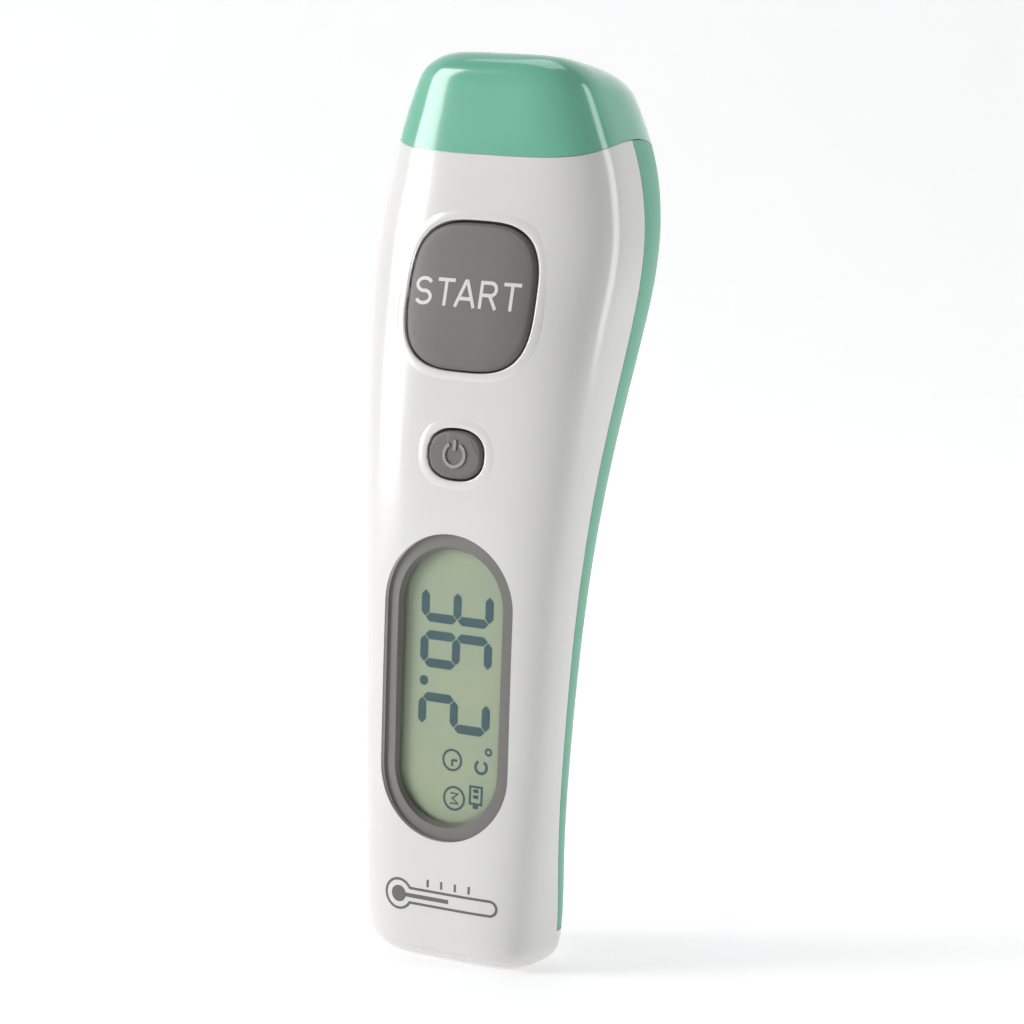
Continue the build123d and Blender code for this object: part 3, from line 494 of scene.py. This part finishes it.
# a stroke of varying half width along a path, from low under the surface to high above it
def stroke(piece, path, halfWidth, depth, low, high, closed=False):
    path = np.asarray(path, float)
    half = np.broadcast_to(np.asarray(halfWidth, float), len(path))
    before, after = np.roll(path, 1, 0), np.roll(path, -1, 0)
    if not closed:
        before[0], after[-1] = path[0], path[-1]
    run, back = after - path, path - before
    run[np.hypot(*run.T) == 0] = back[np.hypot(*run.T) == 0]
    back[np.hypot(*back.T) == 0] = run[np.hypot(*back.T) == 0]
    run, back = run / np.hypot(*run.T)[:, None], back / np.hypot(*back.T)[:, None]
    side = np.stack([-(run + back)[:, 1], (run + back)[:, 0]], -1)
    side /= np.hypot(*side.T)[:, None]
    mitre = 1 / np.clip((side * np.stack([-run[:, 1], run[:, 0]], -1)).sum(1), 0.5, 1)
    left = path + side * (half * mitre)[:, None]
    right = path - side * (half * mitre)[:, None]

    def lifted(flat, lift):
        y = np.array([depth(x, z) for x, z in flat])
        return np.stack([flat[:, 0], np.maximum(y - lift, cadLow[1] / mm), flat[:, 1]], -1)

    ring = np.stack([lifted(left, low), lifted(left, high), lifted(right, high), lifted(right, low)], 1)
    if closed:
        ring = np.concatenate([ring, ring[:1]])
    piece.grid(ring, roundColumns=True)
    if not closed:
        for end in (ring[0], ring[-1]):
            piece.grid(end[[0, 1, 3, 2]].reshape(2, 2, 3))


# an arc in the plane of the marks, from one angle to another in degrees
def arc(x, z, radius, start, end, steps=24, tall=1.0):
    turn = np.radians(np.linspace(start, end, steps))
    return np.stack([x + radius * np.cos(turn), z + radius * tall * np.sin(turn)], -1)


# soft rims around the button openings: a shallow profile carried round the squircle outline
rims = {"startRim": {"centre": wand["length"] - wand["startDrop"], "lean": 12.0, "half": (11.6, 12.1),
                     "squareness": 3.1, "rise": 0.1},
        "powerRim": {"centre": wand["length"] - wand["powerDrop"], "lean": 4.5, "half": (5.0, 3.95),
                     "squareness": 2.4, "rise": 0.08}}
# distance out from the button's edge, and lift over the shell as a share of the rise
rimProfile = np.array([(0.42, -6.0), (0.42, -0.6), (0.46, 0.1), (0.56, 0.62), (0.72, 0.92), (0.92, 1.0),
                       (1.2, 0.85), (1.5, 0.5), (1.8, 0.1), (2.0, -0.3), (2.0, -2.5)])


# the profile carried round a squircle about the button, at the depth of the shell there
def makeRim(name, rim):
    turn = np.linspace(0, 2 * math.pi, 181)[:-1, None]
    power = rim["squareness"]
    reach = (np.abs(np.cos(turn))**power + np.abs(np.sin(turn))**power)**(-1 / power)
    out = rimProfile[None, :, 0]
    x = (rim["half"][0] + out) * np.cos(turn) * reach
    z = rim["centre"] + (rim["half"][1] + out) * np.sin(turn) * reach * math.cos(math.radians(rim["lean"]))
    ends = rim["centre"] + np.array([-1, 1]) * (rim["half"][1] + 2.2)
    offsets = [onShell(0.0, end) - float(skinDepth(0.0, end)) for end in ends]
    y = skinDepth(x, z) + np.interp(z, ends, offsets) - rimProfile[None, :, 1] * rim["rise"]
    loop = np.stack([x, y, z], -1)
    piece = Piece(name)
    piece.grid(np.concatenate([loop, loop[:1]]), roundColumns=True)
    piece.build(finish["shellWhite"], "housing", smooth=60)


onShell = onNode("front_shell")
for name, rim in rims.items():
    makeRim(name, rim)

# the word on the large button, in plain strokes
word = {"left": -10.0, "bottom": 109.2, "height": 4.0, "stroke": 0.29, "gap": 1.12, "kern": 0.7,
        "low": -0.1, "high": 0.03}


# the strokes of a letter and its width: straight lines, with arcs for the bowls
def letterPaths(letter, left, bottom, height):
    top, middle = bottom + height, bottom + height * 0.5
    if letter == "S":
        r = height * 0.25 + 0.02
        upper = arc(left + 1.4, top - r, 1.35, 25, 270, 22, r / 1.35)
        lower = arc(left + 1.4, bottom + r, 1.35, 90, -155, 22, r / 1.35)
        return [np.concatenate([upper, lower[1:]])], 2.8
    if letter == "T":
        return [[(left, top), (left + 3.2, top)], [(left + 1.6, top), (left + 1.6, bottom - 0.2)]], 3.2
    if letter == "A":
        sides = [(left, bottom - 0.2), (left + 1.62, top), (left + 1.88, top), (left + 3.5, bottom - 0.2)]
        return [sides, [(left + 0.6, bottom + height * 0.3), (left + 2.9, bottom + height * 0.3)]], 3.5
    bowl = arc(left + 1.7, top - height * 0.25, height * 0.25, 90, -90, 16)
    stem = [(left, bottom - 0.2), (left, top)]
    return [stem + [tuple(p) for p in bowl] + [(left, middle)],
            [(left + 1.6, middle), (left + 2.9, bottom - 0.2)]], 2.9


onStart = onNode("start_button")
startWord = Piece("startWord")
cursor = word["left"]
for letter in "START":
    cursor -= word["kern"] if letter == "A" else 0
    paths, width = letterPaths(letter, cursor, word["bottom"], word["height"])
    for path in paths:
        stroke(startWord, path, word["stroke"], onStart, word["low"], word["high"])
    cursor += width + word["gap"]
startWord.build(finish["printLight"], "start_button")

# the power mark: a raised ring, open at its top, with a bar in the gap
powerMark = {"centre": (0.0, wand["length"] - wand["powerDrop"]),
             "radius": 1.9, "stroke": 0.28, "gap": 30, "low": -0.1, "high": 0.28}
onPower = onNode("power_button")
markX, markZ = powerMark["centre"]
powerSymbol = Piece("powerSymbol")
stroke(powerSymbol, arc(markX, markZ, powerMark["radius"], 90 + powerMark["gap"], 450 - powerMark["gap"], 40),
       powerMark["stroke"], onPower, powerMark["low"], powerMark["high"])
stroke(powerSymbol, [(markX, markZ + 0.7), (markX, markZ + powerMark["radius"] + 0.6)],
       powerMark["stroke"], onPower, powerMark["low"], powerMark["high"])
powerSymbol.build(finish["raisedGrey"], "power_button", edge=0.08)

# a generic outline of a thermometer near the foot
foot = {"bulb": (-7.6, 10.9), "bulbRadius": 2.5, "tubeHalf": 1.25, "tubeEnd": 9.6, "stroke": 0.22,
        "low": -0.1, "high": 0.03, "ticks": (-2.0, 0.6, 3.2, 5.8), "tickLow": 1.9, "tickHigh": 3.2}
footMark = Piece("footMark")
bulbX, bulbZ = foot["bulb"]
opening = math.degrees(math.asin(foot["tubeHalf"] / foot["bulbRadius"]))
bulbOutline = arc(bulbX, bulbZ, foot["bulbRadius"], opening, 360 - opening, 40)
tubeStart, tubeStop = bulbOutline[0][0], foot["tubeEnd"]
tubeEnd = arc(tubeStop, bulbZ, foot["tubeHalf"], -90, 90, 14)
upperSide = np.stack([np.linspace(tubeStop, tubeStart, 14)[1:-1], np.full(12, bulbZ + foot["tubeHalf"])], -1)
lowerSide = np.stack([np.linspace(tubeStart, tubeStop, 14)[1:-1], np.full(12, bulbZ - foot["tubeHalf"])], -1)
stroke(footMark, np.concatenate([bulbOutline, lowerSide, tubeEnd, upperSide]), foot["stroke"], onShell,
       foot["low"], foot["high"], closed=True)
stroke(footMark, arc(bulbX, bulbZ, 0.7, 0, 345, 24), 0.7, onShell, foot["low"], foot["high"], closed=True)
stroke(footMark, np.stack([np.linspace(bulbX + 0.9, 2.0, 12), np.full(12, bulbZ)], -1), 0.35, onShell,
       foot["low"], foot["high"])
for tick in foot["ticks"]:
    tickLine = [(tick, bulbZ + foot["tickLow"]), (tick, bulbZ + foot["tickHigh"])]
    stroke(footMark, tickLine, foot["stroke"], onShell, foot["low"], foot["high"])
footMark.build(finish["printGrey"], "housing")
print("printed marks made")

# the display's segments, turned a quarter: digits stand along +X and read downwards
digit = {"foot": -6.5, "height": 13.6, "width": 6.2, "half": 0.76, "gap": 0.12, "starts": (63.0, 55.4, 45.0),
         "low": 0.003, "thick": 0.028}
glassFront = -7.65


# the glass is flat, so its depth is the same everywhere
def onGlass(x, z):
    return glassFront


# one segment between two corners of a digit: a bar with pointed ends
def segment(piece, start, end):
    start, end = np.array(start, float), np.array(end, float)
    run = (end - start) / np.hypot(*(end - start))
    start, end = start + run * digit["gap"], end - run * digit["gap"]
    path = [start, start + run * digit["half"], end - run * digit["half"], end]
    stroke(piece, path, [0.01, digit["half"], digit["half"], 0.01], onGlass, digit["low"], digit["thick"])


# a digit from its lit bars, with its top towards +X and its left side at the start height
def drawDigit(piece, number, start):
    low, middle, high = (digit["foot"] + share * digit["height"] for share in (0, 0.5, 1))
    near, far = start - digit["half"], start - digit["width"] + digit["half"]
    low, high = low + digit["half"], high - digit["half"]
    bars = {"a": ((high, near), (high, far)), "g": ((middle, near), (middle, far)),
            "d": ((low, near), (low, far)),
            "f": ((high, near), (middle, near)), "b": ((high, far), (middle, far)),
            "e": ((middle, near), (low, near)), "c": ((middle, far), (low, far))}
    for name in {"3": "abgcd", "6": "afgecd", "2": "abged"}[number]:
        segment(piece, *bars[name])


lcdSegments = Piece("lcdSegments")
for number, start in zip("362", digit["starts"]):
    drawDigit(lcdSegments, number, start)
point = arc(-5.6, 46.9, 0.42, 0, 345, 24)
stroke(lcdSegments, point, 0.4, onGlass, digit["low"], digit["thick"], closed=True)
lcdSegments.build(finish["segmentTeal"], "housing")

# small signs beside the digits: degree ring and C, a dial, a ring with an M, a battery
lcdSigns = Piece("lcdSigns")
fine = {"stroke": 0.2}


# a thin stroke on the glass
def fineStroke(path, closed=False, half=fine["stroke"]):
    stroke(lcdSigns, path, half, onGlass, digit["low"], digit["thick"], closed)


fineStroke(arc(7.1, 36.4, 0.5, 0, 345, 20), closed=True)
fineStroke(arc(5.8, 33.7, 1.05, 60, -240, 26), half=0.26)
fineStroke(arc(0.9, 27.8, 1.9, 0, 348, 36), closed=True)
fineStroke([(0.2, 28.65), (1.65, 28.65), (0.6, 27.8), (1.65, 26.95), (0.2, 26.95)], half=0.15)
fineStroke([(3.9, 30.3), (3.9, 27.4), (6.1, 27.4), (6.1, 30.3)], closed=True)
fineStroke([(5.0, 27.2), (5.0, 26.6)], half=0.5)
fineStroke([(4.5, 29.6), (5.5, 29.6)], half=0.3)
fineStroke([(4.5, 28.6), (5.5, 28.6)], half=0.3)
fineStroke(arc(0.3, 34.2, 1.7, 0, 348, 36), closed=True)
fineStroke([(0.3, 34.2), (1.3, 34.2)])
fineStroke([(0.3, 34.2), (0.3, 33.2)])
lcdSigns.build(finish["segmentTeal"], "housing")
print("display made")
